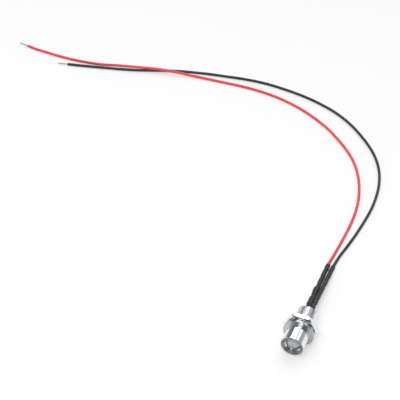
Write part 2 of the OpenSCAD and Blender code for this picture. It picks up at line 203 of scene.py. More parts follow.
def rounded(corners, radius, steps=5):
    """A closed outline with its corners rounded off.

    Each corner becomes a short curve that starts the radius before it and ends the radius after it, or a
    third of the edge where the edge is short: (1 - t)^2 start + 2 t (1 - t) corner + t^2 end.
    """
    before = np.roll(corners, 1, axis=0) - corners
    after = np.roll(corners, -1, axis=0) - corners
    t = np.linspace(0, 1, steps)[None, :, None]
    starts, ends = (corners + edge / length * np.minimum(radius, length / 3)
                    for edge in (before, after)
                    for length in [np.linalg.norm(edge, axis=1, keepdims=True)])
    curve = (1 - t) ** 2 * starts[:, None] + 2 * t * (1 - t) * corners[:, None] + t ** 2 * ends[:, None]
    return curve.reshape(-1, 2)


def lengths_along(points):
    """The length of a line from its start to each of its points."""
    return np.concatenate(([0], np.linalg.norm(np.diff(points, axis=0), axis=1).cumsum()))


def smooth_step(x):
    """0 below 0, 1 above 1, and 3 x^2 - 2 x^3 between them."""
    x = np.clip(x, 0, 1)
    return x * x * (3 - 2 * x)

# %% [markdown]
# ## The fine thread
#
# The holder's shank and its nut carry the fine M8 thread of such a holder: 0.75 mm from crest to crest,
# with flanks 60 degrees apart. A small V that is swept along a helix could cut it, but that needs a boolean
# of two fine meshes. Here the thread is part of the turned surface: the radius dips and rises along the
# axis, and the dips move along by one pitch in each turn. Plating rounds crests and roots, and so does the
# smooth step below, whose steepest part has just the flanks' slope. The nut's bore reads the same formula,
# so the two threads lie in each other with an even gap.

# %% Thread
PITCH = 0.75
THREAD_DEPTH = 0.43
THREAD_GAP = 0.04
THREAD_COLUMNS = 144
ROWS_PER_PITCH = 18
RELIEF = (0.5, 0.25)
THREAD_START_Y = sum(RELIEF)


def thread_radius(height):
    """Radius of the shank's thread at each height and angle, in millimetres.

    The phase runs from 0 to 1 over one pitch, and by 1 more over one turn. Its distance from the middle of
    the groove is 0 there and 1 on the crest, and the depth falls from one to the other as a smooth step.
    """
    turned = np.arange(THREAD_COLUMNS) / THREAD_COLUMNS
    phase = (height[:, None] / PITCH + turned) % 1
    from_groove = np.abs(2 * phase - 1)
    return SHANK_R - THREAD_DEPTH * smooth_step(1 - from_groove)


steepest = math.degrees(math.atan(1.5 * THREAD_DEPTH / (PITCH / 2)))
turns = (SHANK_END_Y - THREAD_START_Y) / PITCH
print("turns on the shank:", round(turns, 1), "steepest flank:", round(steepest), "degrees")

# %% [markdown]
# ## The turned holder
#
# The holder is one piece of brass, turned on a lathe and plated: a dished rim that throws the light
# forwards, a smooth collar, the flange that rests on the panel, and the threaded shank with a bore right
# through. A turned part is an outline carried round an axis. The outline closes, because the bore goes
# through, so the mesh is a ring in both directions. Its edges are rounded by a few hundredths of a
# millimetre: without that no edge would catch the light.

# %% Turned holder
DISH_DEPTH = 1.1
DISH_R = 3.75
NECK = (0.15, 0.12)
END_CHAMFER = 0.35
BORE_CHAMFER = 0.15
EDGE = 0.06
RIM_ROUND = 0.2
WALL_STEP = 0.4


def turned_holder():
    """The outline goes forwards through the bore, round the rim, back over the outside and in again.

    Behind the relief groove the radius is the smaller of the outline's and the thread's, so that the thread
    runs out through the chamfer as a cut one does. Its depth grows over the first turn.
    """
    relief_r = SHANK_R - RELIEF[1]
    corners = np.array([
        (FRONT_BORE_R, SEAT_Y), (FRONT_BORE_R, FRONT_Y + DISH_DEPTH), (DISH_R, FRONT_Y), (COLLAR_R, FRONT_Y),
        (COLLAR_R, -FLANGE_T - 2 * NECK[0]), (COLLAR_R - NECK[1], -FLANGE_T - NECK[0]),
        (COLLAR_R - NECK[1], -FLANGE_T), (FLANGE_R, -FLANGE_T), (FLANGE_R, 0), (relief_r, 0),
        (relief_r, RELIEF[0]), (SHANK_R, THREAD_START_Y), (SHANK_R, SHANK_END_Y - END_CHAMFER),
        (SHANK_R - END_CHAMFER, SHANK_END_Y), (REAR_BORE_R + BORE_CHAMFER, SHANK_END_Y),
        (REAR_BORE_R, SHANK_END_Y - BORE_CHAMFER), (REAR_BORE_R, SEAT_Y)])
    size = np.full((len(corners), 1), EDGE)
    collar_front, flange_front, flange_rear = 3, 7, 8
    size[[collar_front, flange_front, flange_rear]] = RIM_ROUND
    outline = rounded(corners, size)
    along = lengths_along(outline)
    on_shank = (outline[:, 1] > THREAD_START_Y - EDGE) & (outline[:, 0] > SHANK_R - END_CHAMFER - 2 * EDGE)
    shank_from, shank_to = along[on_shank].min(), along[on_shank].max()
    fine = np.arange(shank_from, shank_to, PITCH / ROWS_PER_PITCH)
    long_walls = np.arange(0, along[-1], WALL_STEP)
    places = np.unique(np.concatenate((along, fine, long_walls)))
    radius, height = (np.interp(places, along, outline[:, k]) for k in (0, 1))
    threaded = (places >= shank_from) & (places <= shank_to)
    run_in = smooth_step((height - THREAD_START_Y) / PITCH)[:, None]
    cut = SHANK_R - run_in * (SHANK_R - thread_radius(height))
    radii = np.where(threaded[:, None], np.minimum(radius[:, None], cut), radius[:, None])
    return surface("turned_holder", turn(radii, height, THREAD_COLUMNS), sharp=60)


def stand_in(piece, node):
    """Sets a piece on the fixed body in place of a node, and hides the node."""
    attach(piece, "root")
    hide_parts(node)


holder = turned_holder()
stand_in(holder, "bezel_body")

# %% [markdown]
# ## The hex nut
#
# The nut is milled from hexagon bar: its flats are 11 mm apart and a 30 degree cone turns off its corners
# on both faces. Cutting a prism with two cones would do it, and so does one formula for the radius: the
# smallest of the hexagon's and the two cones' radius at that height. A soft minimum, which rounds where two
# of them cross, gives the edges the small radius that plating leaves.

# %% Hex nut
NUT_FACE_INSET = 0.15
NUT_COUNTERSINK = 0.25
CONE = math.tan(math.radians(30))
NUT_EDGE = 0.035
OUTSIDE_ROWS = 30
BORE_ROWS = 48
FACE_ROWS = 6


def soft_minimum(*values):
    """The smallest value, rounded off within about the edge: -edge * log(sum of exp(-value / edge))."""
    return -NUT_EDGE * np.logaddexp.reduce([-v / NUT_EDGE for v in values])


def threaded_nut():
    """The rows go back over the outside, in over the rear face, forwards through the thread and out again.

    The hexagon's radius is its flat's distance over the cosine of the angle to the nearest flat's middle.
    """
    to_corner = np.abs((angles(THREAD_COLUMNS) + np.pi / 6) % (np.pi / 3) - np.pi / 6)
    hexagon = NUT_FLAT_R / np.cos(np.pi / 6 - to_corner)
    height = NUT_Y0 + (NUT_Y1 - NUT_Y0) * (1 - np.cos(np.linspace(0, np.pi, OUTSIDE_ROWS))) / 2
    face_r = NUT_FLAT_R - NUT_FACE_INSET
    cones = (np.abs(height - face)[:, None] / CONE + face_r + 0 * hexagon for face in (NUT_Y0, NUT_Y1))
    outside = soft_minimum(hexagon + 0 * height[:, None], *cones)
    bore_height = np.linspace(NUT_Y1, NUT_Y0, BORE_ROWS)
    countersink = SHANK_R + NUT_COUNTERSINK - np.minimum(NUT_Y1 - bore_height, bore_height - NUT_Y0)
    bore = np.maximum(thread_radius(bore_height) + THREAD_GAP, countersink[:, None])
    across = np.linspace(0, 1, FACE_ROWS + 2)[1:-1, None]
    rear_face = outside[-1] + across * (bore[0] - outside[-1])
    front_face = bore[-1] + across * (outside[0] - bore[-1])
    radii = np.vstack((outside, rear_face, bore, front_face))
    heights = np.concatenate((height, np.full(FACE_ROWS, NUT_Y1), bore_height, np.full(FACE_ROWS, NUT_Y0)))
    return surface("threaded_nut", turn(radii, heights, THREAD_COLUMNS), sharp=60)


nut = threaded_nut()
stand_in(nut, "hex_nut")

# %% [markdown]
# ## The cast lens
#
# The lens is clear epoxy, cast in a cup-shaped mould round the lead frame: a half sphere, a straight body,
# and a rim whose flat marks the cathode's side. The frame's solid has a hollow for each piece that it was
# cast round. In a render, light would then leave the epoxy and enter it again at every such wall. So this
# lens is the outer form alone, and the lead frame stands in it with nothing between, as in the real
# casting.

# %% Cast lens
LENS_COLUMNS = 96
DOME_ROWS = 40
BODY_ROWS = 20
LENS_EDGE = 0.06
LENS_FILLET = 0.1
LENS_FLAT_X = LENS_R + 0.05


def in_lamp(points):
    """Turns the points of an unturned lamp about its axis, by the lamp's roll in its holder."""
    c, s = math.cos(LAMP_ROLL), math.sin(LAMP_ROLL)
    x, y, z = np.moveaxis(points, -1, 0)
    return np.stack((c * x - s * z, y, s * x + c * z), axis=-1)


def cast_lens():
    """A quarter circle from the tip, the body, then the rim.

    The rim's points that lie beyond the flat are drawn back to it.
    """
    rim_y = BASE_Y - LENS_RIM_T
    bend = np.linspace(0.04, np.pi / 2, DOME_ROWS)
    dome = np.stack((LENS_R * np.sin(bend), TIP_Y + LENS_R * (1 - np.cos(bend))), axis=-1)
    body_y = np.linspace(TIP_Y + LENS_R, rim_y - 0.02, BODY_ROWS)[1:-1]
    body = np.stack((np.full(len(body_y), LENS_R), body_y), axis=-1)
    fillet = np.array([
        (LENS_R, rim_y - LENS_FILLET), (LENS_R + 0.02, rim_y - 0.03), (LENS_R + LENS_FILLET, rim_y)])
    edge, soft = LENS_EDGE, LENS_EDGE / 3
    rim = np.array([
        (LENS_RIM_R - edge, rim_y), (LENS_RIM_R - soft, rim_y + soft), (LENS_RIM_R, rim_y + edge),
        (LENS_RIM_R, BASE_Y - edge), (LENS_RIM_R - soft, BASE_Y - soft), (LENS_RIM_R - edge, BASE_Y),
        (1.5, BASE_Y), (0.1, BASE_Y)])
    radius, height = np.vstack((dome, body, fillet, rim)).T
    points = turn(radius, height, LENS_COLUMNS)
    points[..., 0] = np.minimum(points[..., 0], LENS_FLAT_X)
    return surface("cast_lens", in_lamp(points), poles=[(0, TIP_Y, 0), (0, BASE_Y, 0)])


lens = cast_lens()
stand_in(lens, "led_lens")

# %% [markdown]
# ## Lines that sleeves and wires follow
#
# A wire is a round thing along a line. A smooth line goes through the points of its route, and two
# directions across it turn a circle into a tube. The table is flat, so one of the two can always lie level:
# no twist builds up, and it takes no loop to find them.

# %% Smooth lines and tubes
SAMPLES_PER_POINT = 40


def unit(v):
    """Vectors of length 1 in the same directions."""
    return v / np.linalg.norm(v, axis=-1, keepdims=True)


def smooth_path(points, step):
    """A smooth line through the points, with its own points one step apart.

    The slope at each point is the weighted change to its neighbours, and each stretch is the cubic that has
    the right ends and slopes: h00 a + h10 slope_a + h01 b + h11 slope_b. The line is then sampled again at
    even lengths.
    """
    points = np.array(points, float)
    knots = lengths_along(points)
    slopes = np.gradient(points, knots, axis=0)
    u = np.linspace(0, knots[-1], SAMPLES_PER_POINT * len(points))
    k = np.clip(np.searchsorted(knots, u, side="right") - 1, 0, len(points) - 2)
    gap = (knots[k + 1] - knots[k])[:, None]
    t = (u[:, None] - knots[k][:, None]) / gap
    line = ((1 + 2 * t) * (1 - t) ** 2 * points[k] + t * (1 - t) ** 2 * gap * slopes[k]
            + t * t * (3 - 2 * t) * points[k + 1] + t * t * (t - 1) * gap * slopes[k + 1])
    length = lengths_along(line)
    places = np.linspace(0, length[-1], max(2, round(length[-1] / step) + 1))
    return np.stack([np.interp(places, length, line[:, axis]) for axis in range(3)], axis=-1), places


def around(path, radius, columns):
    """Points round a line: line + radius * (cos(angle) * level + sin(angle) * upright)."""
    ahead = unit(np.gradient(path, axis=0))
    level = unit(np.cross(ahead, (0, 0, 1)))
    upright = np.cross(level, ahead)
    angle = angles(columns)[None, :, None]
    across = np.cos(angle) * level[:, None] + np.sin(angle) * upright[:, None]
    return path[:, None] + radius[..., None] * across


def wrap(places, columns, radius):
    """A pattern's own coordinates on a tube: two that go round it and one along it, in millimetres."""
    angle = angles(columns) + 0 * places[:, None]
    along = places[:, None] + 0 * angle
    return np.stack((radius * np.cos(angle), radius * np.sin(angle), along), axis=-1)

# %% [markdown]
# ## The routes of the wires
#
# The routes' points are chosen from the photograph, 5 or 6 mm apart, and are the solids' own. They
# are (across, along, above the table), and the red wire climbs to 1.2 mm where it passes over the black
# one. Each wire starts inside its sleeve, which slopes down from its leg of the LED to the table.

# %% The routes
RED_MOUTH_X = -2.4
BLACK_MOUTH_X = -0.4
RED_WIRE_S = 21.21
BLACK_WIRE_S = 5.98
PAST_SLEEVE = 0.4
SLEEVE_LIFT = 0.02
PATH_STEP = 0.5
RED_ROUTE = [
    (-2.1, 45.5, 0), (-1.8, 51.5, 0), (-1.6, 57.5, 0), (-1.6, 63.5, 0), (-2, 69.5, 0), (-2.9, 75.5, 0),
    (-4.4, 81.2, 0), (-6.4, 86.8, 0), (-9.1, 92.2, 0), (-12.4, 97.2, 0), (-16.4, 101.7, 0),
    (-20.8, 105.8, 0), (-25.4, 109.6, 0), (-30.3, 112.9, 0), (-35.6, 115.8, 0), (-41.1, 118.3, 0),
    (-46.7, 120.2, 0), (-52.6, 121.6, 0), (-58.5, 122.4, 0), (-64.5, 122.7, 0), (-70.5, 122.6, 0),
    (-76.5, 122.3, 0), (-82.5, 121.9, 0.1), (-88.4, 121.3, 0.4), (-94.4, 120.5, 0.9), (-100.3, 119.5, 1.2),
    (-106.2, 118.3, 1.2), (-112, 116.9, 1.2), (-117.9, 115.7, 1), (-123.8, 114.8, 0.4), (-129.8, 114.2, 0.1),
    (-135.8, 113.9, 0), (-141.8, 113.9, 0), (-147.8, 114.3, 0), (-153.7, 114.8, 0), (-157, 115.4, 0)]
BLACK_ROUTE = [
    (0, 45, 0), (0.9, 50.5, 0), (1.7, 56, 0), (2.3, 61.5, 0), (2.8, 67.5, 0), (3, 73.5, 0), (2.7, 79.5, 0),
    (1.9, 85.4, 0), (0.4, 91.2, 0), (-1.9, 96.8, 0), (-5, 102, 0), (-8.8, 106.7, 0), (-13.1, 111, 0),
    (-17.7, 115, 0), (-22.7, 118.5, 0), (-28.1, 121.4, 0), (-33.8, 123.6, 0), (-39.6, 125.3, 0),
    (-45.5, 126.5, 0), (-51.4, 127.3, 0), (-57.4, 127.8, 0), (-63.4, 127.7, 0), (-69.4, 127.1, 0),
    (-75.3, 126.2, 0), (-81.2, 125.3, 0), (-87.1, 124.1, 0), (-93, 122.7, 0), (-98.8, 120.9, 0),
    (-104.5, 118.8, 0), (-110.2, 116.8, 0), (-116, 115.2, 0), (-121.8, 113.8, 0), (-127.6, 112.4, 0),
    (-133.5, 111.1, 0), (-137, 110.4, 0)]


def sleeve_axis(side, mouth_x):
    """The two ends of a sleeve's axis: at its lead behind the bush, and where its length meets the table."""
    start = in_lamp(np.array((side * LEAD_X, SLEEVE_START_Y, 0)))
    mouth_z = FLOOR_Z + SLEEVE_R + SLEEVE_LIFT
    across, down = mouth_x - start[0], mouth_z - start[2]
    mouth_y = start[1] + math.sqrt(SLEEVE_LEN ** 2 - across ** 2 - down ** 2)
    return start, np.array((mouth_x, mouth_y, mouth_z))


def wire_path(axis, from_s, route):
    """The wire's line: straight out of its sleeve, then over the table at the height of its own radius."""
    start, mouth = axis
    to_s = SLEEVE_LEN + PAST_SLEEVE
    inside = start + unit(mouth - start) * np.array((from_s, (from_s + to_s) / 2, to_s))[:, None]
    outside = np.array(route) + (0, 0, FLOOR_Z + WIRE_R)
    return smooth_path(np.vstack((inside, outside)), PATH_STEP)


RED_AXIS = sleeve_axis(-1, RED_MOUTH_X)
BLACK_AXIS = sleeve_axis(1, BLACK_MOUTH_X)
red_line, red_s = wire_path(RED_AXIS, RED_WIRE_S, RED_ROUTE)
black_line, black_s = wire_path(BLACK_AXIS, BLACK_WIRE_S, BLACK_ROUTE)
apart = np.linalg.norm(red_line[:, None] - black_line[None], axis=-1).min()
print(f"red {red_s[-1]:.1f} mm, black {black_s[-1]:.1f} mm, nearest centre lines {apart:.2f} mm")

# %% [markdown]
# ## The two wires
#
# Each wire is fine stranded copper in a soft plastic insulation, 1.1 mm thick and pressed through a die, so
# its surface is smooth along its length, and only slightly out of round. A curve with a round bevel would
# give the form, but a grid also carries the coordinates that let the finish run along the wire.

# %% Wires
WIRE_COLUMNS = 20
WIRE_WAVES = 3
WIRE_SWELL = 0.004
WIRE_CUT = 0.06
WIRE_CUT_LEN = 0.3
rng = np.random.default_rng(9)


def insulated_wire(name, line, places, node):
    """A tube whose radius swells and shrinks by a hundredth of a millimetre, in a few slow waves along it.

    Each wave is the sine of the length along the wire, and the radius is a little less at the cut ends.
    """
    waves, phases = rng.uniform(0.05, 0.3, WIRE_WAVES), rng.uniform(0, 2 * np.pi, WIRE_WAVES)
    swell = WIRE_SWELL * (np.sin(places[:, None] * waves * 2 * np.pi / 3 + phases).sum(axis=1) - WIRE_WAVES)
    fade = smooth_step(places / WIRE_CUT_LEN) * smooth_step((places[-1] - places) / WIRE_CUT_LEN)
    radius = (WIRE_R - WIRE_CUT * (1 - fade) + swell)[:, None] + np.zeros(WIRE_COLUMNS)
    made = surface(name, around(line, radius, WIRE_COLUMNS), poles=line[[0, -1]], sharp=50,
                   wrap=wrap(places, WIRE_COLUMNS, WIRE_R))
    stand_in(made, node)
    return made


red_wire = insulated_wire("red_insulated_wire", red_line, red_s, "red_wire")
black_wire = insulated_wire("black_insulated_wire", black_line, black_s, "black_wire")

# %% [markdown]
# ## The bare ends
#
# The last 4 mm of each wire are stripped, and the copper strands are twisted and dipped in solder. Seven
# wires laid together are the usual bundle: one in the middle and six round it. The outline of six touching
# circles, turned evenly along the end, is a single surface with the look of the bundle, and solder fills
# the valleys between them.

# %% Bare ends
STRANDS = 6
LAY = 5.0
SOLDER_FILL = 0.9
BUNDLE_ROWS = 60
BUNDLE_COLUMNS = 60
TIP_LEN = 0.12


def strand_bundle(name, wire_line, node):
    """A twisted bundle that goes straight on from the wire's last two points.

    A strand's circle has a third of the bundle's radius, and its centre lies two thirds out. At the angle d
    from the centre the outline is at c cos(d) + sqrt(r^2 - c^2 sin^2(d)), and at least as far out as the
    solder reaches. At the tip the radius falls to half, as the square root of a smooth step.
    """
    places = np.linspace(0, BARE_LEN, BUNDLE_ROWS)
    centre, r = STRAND_R * 2 / 3, STRAND_R / 3
    part = 2 * np.pi / STRANDS
    d = (angles(BUNDLE_COLUMNS) + places[:, None] * 2 * np.pi / LAY) % part - part / 2
    reach = np.sqrt(np.clip(r ** 2 - (centre * np.sin(d)) ** 2, 0, None))
    outline = np.maximum(centre * np.cos(d) + reach, SOLDER_FILL * STRAND_R)
    end = np.sqrt(smooth_step((BARE_LEN - places) / TIP_LEN) * 0.75 + 0.25)
    line = wire_line[-1] + unit(wire_line[-1] - wire_line[-2]) * places[:, None]
    made = surface(name, around(line, outline * end[:, None], BUNDLE_COLUMNS), poles=line[[0, -1]],
                   wrap=wrap(places, BUNDLE_COLUMNS, STRAND_R))
    stand_in(made, node)
    return made


red_end = strand_bundle("red_bare_strands", red_line, "red_wire_tip")
black_end = strand_bundle("black_bare_strands", black_line, "black_wire_tip")

# %% [markdown]
# ## The shrunk sleeves
#
# A sleeve is a thin plastic tube that shrinks in hot air onto whatever is inside it: here a leg of the LED,
# a soldered joint, in the red one a small resistor, and the wire. So its outside shows what it hides, as a
# row of soft swellings, with slight ripples where it cooled. The radius along the sleeve is the wire's,
# plus a bump for each hidden thing, plus, on the outside alone, a few seeded waves. The rows run back over
# the outside and forwards again inside, so the wall is real.

# %% Shrunk sleeves
SLEEVE_ROWS = 211
SLEEVE_COLUMNS = 40
JOINT_LEN = 2.8
JOINT_SWELL = 0.3375
RES_SWELL = 0.38
RES_LEN = 3.4
FLANK = 1.5
RIPPLE = 0.15
RIPPLE_WAVES = 9
RIPPLE_LIMITS = (-0.09, 0.11)
FADE_AT_BUSH = 0.5
FADE_AT_TABLE = 2.5
CUT_EDGE = 0.03
CUT_EDGE_LEN = 0.08
INSIDE_SPARE = 0.01
RED_SWELLS = ((JOINT_SWELL, 7.97, JOINT_LEN), (RES_SWELL, 13.19, RES_LEN), (JOINT_SWELL, 19.01, JOINT_LEN))
BLACK_SWELLS = ((JOINT_SWELL, 2.98, JOINT_LEN),)


def bump(s, centre, top):
    """1 over a flat top round its centre, and half a cosine wave down to 0 over the flank past it."""
    d = np.clip((np.abs(s - centre) - top / 2) / FLANK, 0, 1)
    return (1 + np.cos(np.pi * d)) / 2


def ripples(s):
    """The mean of waves along and round the tube, each with its own seeded length, turns and phase."""
    around_tube = angles(SLEEVE_COLUMNS)[None, :, None]
    turns = rng.integers(0, 4, RIPPLE_WAVES)
    lengths, phases = rng.uniform(1.8, 5.5, RIPPLE_WAVES), rng.uniform(0, 2 * np.pi, RIPPLE_WAVES)
    waves = np.sin(s[:, None, None] * 2 * np.pi / lengths + around_tube * turns + phases)
    return np.clip(RIPPLE * waves.mean(axis=-1), *RIPPLE_LIMITS)


def shrunk_sleeve(name, axis, swells, node):
    """The wall follows the largest bump. The ripples lie on the outside alone, and fade out at both ends.

    The outside's edge is drawn in a little where the tube was cut.
    """
    start, mouth = axis
    s = np.linspace(0, SLEEVE_LEN, SLEEVE_ROWS)
    swell = np.max([height * bump(s, centre, top) for height, centre, top in swells], axis=0)
    plain = (SLEEVE_R + swell)[:, None] + np.zeros(SLEEVE_COLUMNS)
    ends = smooth_step(s / FADE_AT_BUSH) * smooth_step((SLEEVE_LEN - s) / FADE_AT_TABLE)
    uneven = ripples(s) * ends[:, None]
    cut_edge = CUT_EDGE * (1 - smooth_step(np.minimum(s, SLEEVE_LEN - s) / CUT_EDGE_LEN))[:, None]
    line = start + unit(mouth - start) * s[:, None]
    outside = around(line, plain + uneven - cut_edge, SLEEVE_COLUMNS)
    inside = around(line, plain - SLEEVE_WALL + INSIDE_SPARE, SLEEVE_COLUMNS)[::-1]
    made = surface(name, np.concatenate((outside, inside)), sharp=50,
                   wrap=wrap(np.concatenate((s, s[::-1])), SLEEVE_COLUMNS, SLEEVE_R))
    stand_in(made, node)
    return made


red_sleeve = shrunk_sleeve("red_side_sleeve", RED_AXIS, RED_SWELLS, "red_sleeve")
black_sleeve = shrunk_sleeve("black_side_sleeve", BLACK_AXIS, BLACK_SWELLS, "black_sleeve")

# %% [markdown]

# %% [markdown]
# ## Small pieces with softened edges
#
# The washer, the lead frame, the bush and what the sleeves hide keep the form of their solids. Stamped and
# moulded pieces have no knife edges, though, so each gets a copy of its solid's mesh, with the loose
# triangles merged and a narrow bevel. The solid's own mesh stays as it is, and is hidden.

# %% Softened copies
SOFTENED = {
    "toothed_washer": ("star_washer", 0.05), "cathode_frame": ("cathode_lead", 0.03),
    "anode_frame": ("anode_lead", 0.03), "moulded_bush": ("retaining_bush", 0.06)}


def softened(name, node, width):
    """A copy of a node's mesh with its doubles merged and a two-step bevel on every edge over 30 degrees."""
    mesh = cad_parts[node].data.copy()
    mesh.name = name
    made = added(name, mesh)
    weld = made.modifiers.new("weld", "WELD")
    weld.merge_threshold = 0.002 * MM
    bevel = made.modifiers.new("bevel", "BEVEL")
    bevel.width = width * MM
    bevel.segments = 2
    bevel.limit_method = "ANGLE"
    bevel.angle_limit = math.radians(30)
    stand_in(made, node)
    print(f"{name}: copy of {node}, {len(mesh.polygons)} triangles")
    return made


soft = {name: softened(name, node, width) for name, (node, width) in SOFTENED.items()}

# %% [markdown]
# ## Materials written as sums
#
# A material is a small program: a texture gives a number for each place, arithmetic shapes it, and the
# result steers a colour or the roughness. Drawn as nodes such a program is hard to read. So one small class
# stands for a number in the material, and Python's own signs add the arithmetic nodes: 1 - dust * 0.3 is
# two of them.

# %% Numbers
def sign(operation):
    """What a sign does to a number, and its reflected form, with the number on the right."""
    return (lambda self, other: self.math(operation, self, other),
            lambda self, other: self.math(operation, other, self))


class Number:
    """A number that changes over a surface: one output of a node."""

    __add__, __radd__ = sign("ADD")
    __sub__, __rsub__ = sign("SUBTRACT")
    __mul__, __rmul__ = sign("MULTIPLY")
    __truediv__, __rtruediv__ = sign("DIVIDE")
    __pow__, __rpow__ = sign("POWER")

    def __init__(self, finish, output):
        self.finish = finish
        self.output = output

    def math(self, operation, *values):
        """One arithmetic node, whose sockets take the values in order."""
        return self.finish.node("ShaderNodeMath", {"operation": operation}, dict(enumerate(values)))

    def between(self, low, high):
        """0 where the number is at or below low, 1 at or above high, and smooth between them."""
        return self.finish.node("ShaderNodeMapRange", {"interpolation_type": "SMOOTHSTEP"},
                                {"Value": self, "From Min": low, "From Max": high})

# %% [markdown]
# ## The material itself
#
# The second class holds one material and makes every other kind of node. Its patterns are worked out from
# the place on the piece in millimetres, so that a grain has the same size on every piece.

# %% Finishes
class Finish:
    """One material, with its Principled shader and a method that adds any node."""

    def __init__(self, name, **constants):
        self.material = bpy.data.materials.new(name)
        self.material.use_nodes = True
        self.tree = self.material.node_tree
        self.shader = self.tree.nodes["Principled BSDF"]
        for key, value in constants.items():
            self.shader.inputs[key.replace("_", " ").title().replace("Ior", "IOR")].default_value = value

    def node(self, kind, settings=None, sockets=None, output=0):
        """Adds a node of that kind, sets it up, then fills its sockets with values or links."""
        made = self.tree.nodes.new(kind)
        for key, value in (settings or {}).items():
            setattr(made, key, value)
        for key, value in (sockets or {}).items():
            self.fill(made.inputs[key], value)
        return Number(self, made.outputs[output])

    def fill(self, socket, value):
        """Links a number to a socket, or sets a plain value on it."""
        if isinstance(value, Number):
            self.tree.links.new(value.output, socket)
        else:
            socket.default_value = value

    def feed(self, socket, value):
        """Fills one socket of the shader."""
        self.fill(self.shader.inputs[socket], value)

    def place(self):
        """The place on the piece in millimetres, from the piece's own origin."""
        return self.stretched(self.node("ShaderNodeTexCoord", output=3), (1000, 1000, 1000))

    def attribute(self, name):
        """A vector that the mesh carries at each of its points."""
        return self.node("ShaderNodeAttribute", {"attribute_name": name}, output=1)

    def vector(self, operation, first, second, output=0):
        """One arithmetic node for two vectors. A dot product comes out of output 1."""
        return self.node("ShaderNodeVectorMath", {"operation": operation}, {0: first, 1: second}, output)

    def stretched(self, vector, scale):
        """A vector whose three parts are multiplied by the scale's."""
        return self.vector("MULTIPLY", vector, scale)

    def parts(self, vector):
        """The three coordinates of a vector."""
        first = self.node("ShaderNodeSeparateXYZ", None, {0: vector})
        return [Number(self, output) for output in first.output.node.outputs]

    def joined(self, x, y, z):
        return self.node("ShaderNodeCombineXYZ", None, {0: x, 1: y, 2: z})

    def noise(self, vector, scale, detail, roughness):
        return self.node("ShaderNodeTexNoise", None,
                         {"Vector": vector, "Scale": scale, "Detail": detail, "Roughness": roughness})

    def mixed(self, amount, first, second):
        """A colour between two others."""
        return self.node("ShaderNodeMix", {"data_type": "RGBA"}, {0: amount, 6: first, 7: second}, output=2)

    def look(self, colour, roughness, height, distance):
        """Feeds a colour, a roughness and a bump: height 1 stands out by the distance, in metres."""
        self.feed("Base Color", colour)
        self.feed("Roughness", roughness)
        self.feed("Normal", self.node("ShaderNodeBump", None, {"Height": height, "Distance": distance}))
        return self

    def ray(self, kind):
        """1 for a ray of that kind and 0 for any other."""
        path = self.node("ShaderNodeLightPath").output.node
        return Number(self, path.outputs[f"Is {kind} Ray"])

    def seen(self):
        """1 for the camera's own rays and for those that went through the lens."""
        straight = self.ray("Camera")
        return straight.math("MAXIMUM", straight, self.ray("Transmission"))


def grey(value):
    return (value, value, value, 1)


def darker(colour, share):
    """A colour with each of its parts multiplied by the share."""
    return (*(part * share for part in colour[:3]), 1)


def dress(finish, *pieces):
    """Gives pieces the finish, in all the slots that a solid's mesh already has."""
    for piece in pieces:
        if piece.material_slots:
            for slot in piece.material_slots:
                slot.material = finish.material
        else:
            piece.data.materials.append(finish.material)

# %% [markdown]
# ## Bright chrome over turned brass
#
# Plated brass shows the fine rings that the lathe's tool left, softened by polish, and faint smears of
# handling. The rings are noise over the distance from the axis and the place along it, with no angle in it,
# and the smears make the reflections a little darker and less sharp. Masks paint shade into the colour in
# the dish, in the corner in front of the flange and at the flange's outer edge, and make them rougher. The
# painted shade stops short of the dish's inner edge, which keeps the full chrome colour and shows a thin
# bright reflection there.

# %% Chrome on the holder
# The first number of each pair below is painted shade: the share of the chrome's colour left in that place.
DISH_PAINTED_SHADE = (0.34, 0.34)
DISH_INNER = (2.7, 3.05)
DISH_OUTER = (COLLAR_R - 0.16, COLLAR_R - 0.02)
DISH_BOTTOM = (FRONT_Y + DISH_DEPTH + 0.3, FRONT_Y + DISH_DEPTH + 0.7)
CORNER_PAINTED_SHADE = (0.68, 0.24)
CORNER_FRONT = (-FLANGE_T - 0.4, -FLANGE_T - 0.2)
CORNER_REAR = (-FLANGE_T + 0.12, -FLANGE_T + 0.22)
CORNER_OUTER = (FLANGE_R - 0.4, FLANGE_R - 0.1)
RIM_PAINTED_SHADE = (0.55, 0.12)
RIM_INNER = (FLANGE_R - 0.7, FLANGE_R - 0.3)


def chrome(name, colour, ring_depth, smooth, rough, dished=False):
    """The dish is a ring between two radii that lies in front of the dish's bottom.

    The corner is the strip of the collar and of the flange's front face where the two meet, and the rim is
    the flange's outer edge. Each mask is a product of smooth steps, one for each of its borders, and paints
    shade into the colour there. Its two numbers are the share of the colour that is left there, and the
    roughness.
    """
    finish = Finish(name, metallic=1.0)
    place = finish.place()
    x, y, z = finish.parts(place)
    radius = (x * x + z * z) ** 0.5
    section = finish.joined(radius, y, 0)
    rings = finish.noise(section, 14, 3, 0.6)
    smears = finish.noise(place, 0.7, 4, 0.6).between(0.35, 0.75)
    pits = finish.noise(place, 9, 2, 0.5).between(0.62, 0.8)
    tone = finish.mixed(smears * 0.35 + pits * 0.25, colour, darker(colour, 0.88))
    blur = smooth + smears * (rough - smooth) + rings * 0.03
    if dished:
        dish = radius.between(*DISH_INNER) * (1 - radius.between(*DISH_OUTER)) * (1 - y.between(*DISH_BOTTOM))
        corner = y.between(*CORNER_FRONT) * (1 - y.between(*CORNER_REAR))
        corner = corner * (1 - radius.between(*CORNER_OUTER))
        rim = radius.between(*RIM_INNER)
        # Painted shade: each mask darkens the chrome's colour in its place, and makes it rougher.
        for mask, (share, dull_rough) in ((dish, DISH_PAINTED_SHADE), (corner, CORNER_PAINTED_SHADE), (rim, RIM_PAINTED_SHADE)):
            tone = finish.mixed(mask, tone, darker(colour, share))
            blur = blur + mask * (dull_rough - smooth)
    return finish.look(tone, blur, rings + pits * 0.3, ring_depth)


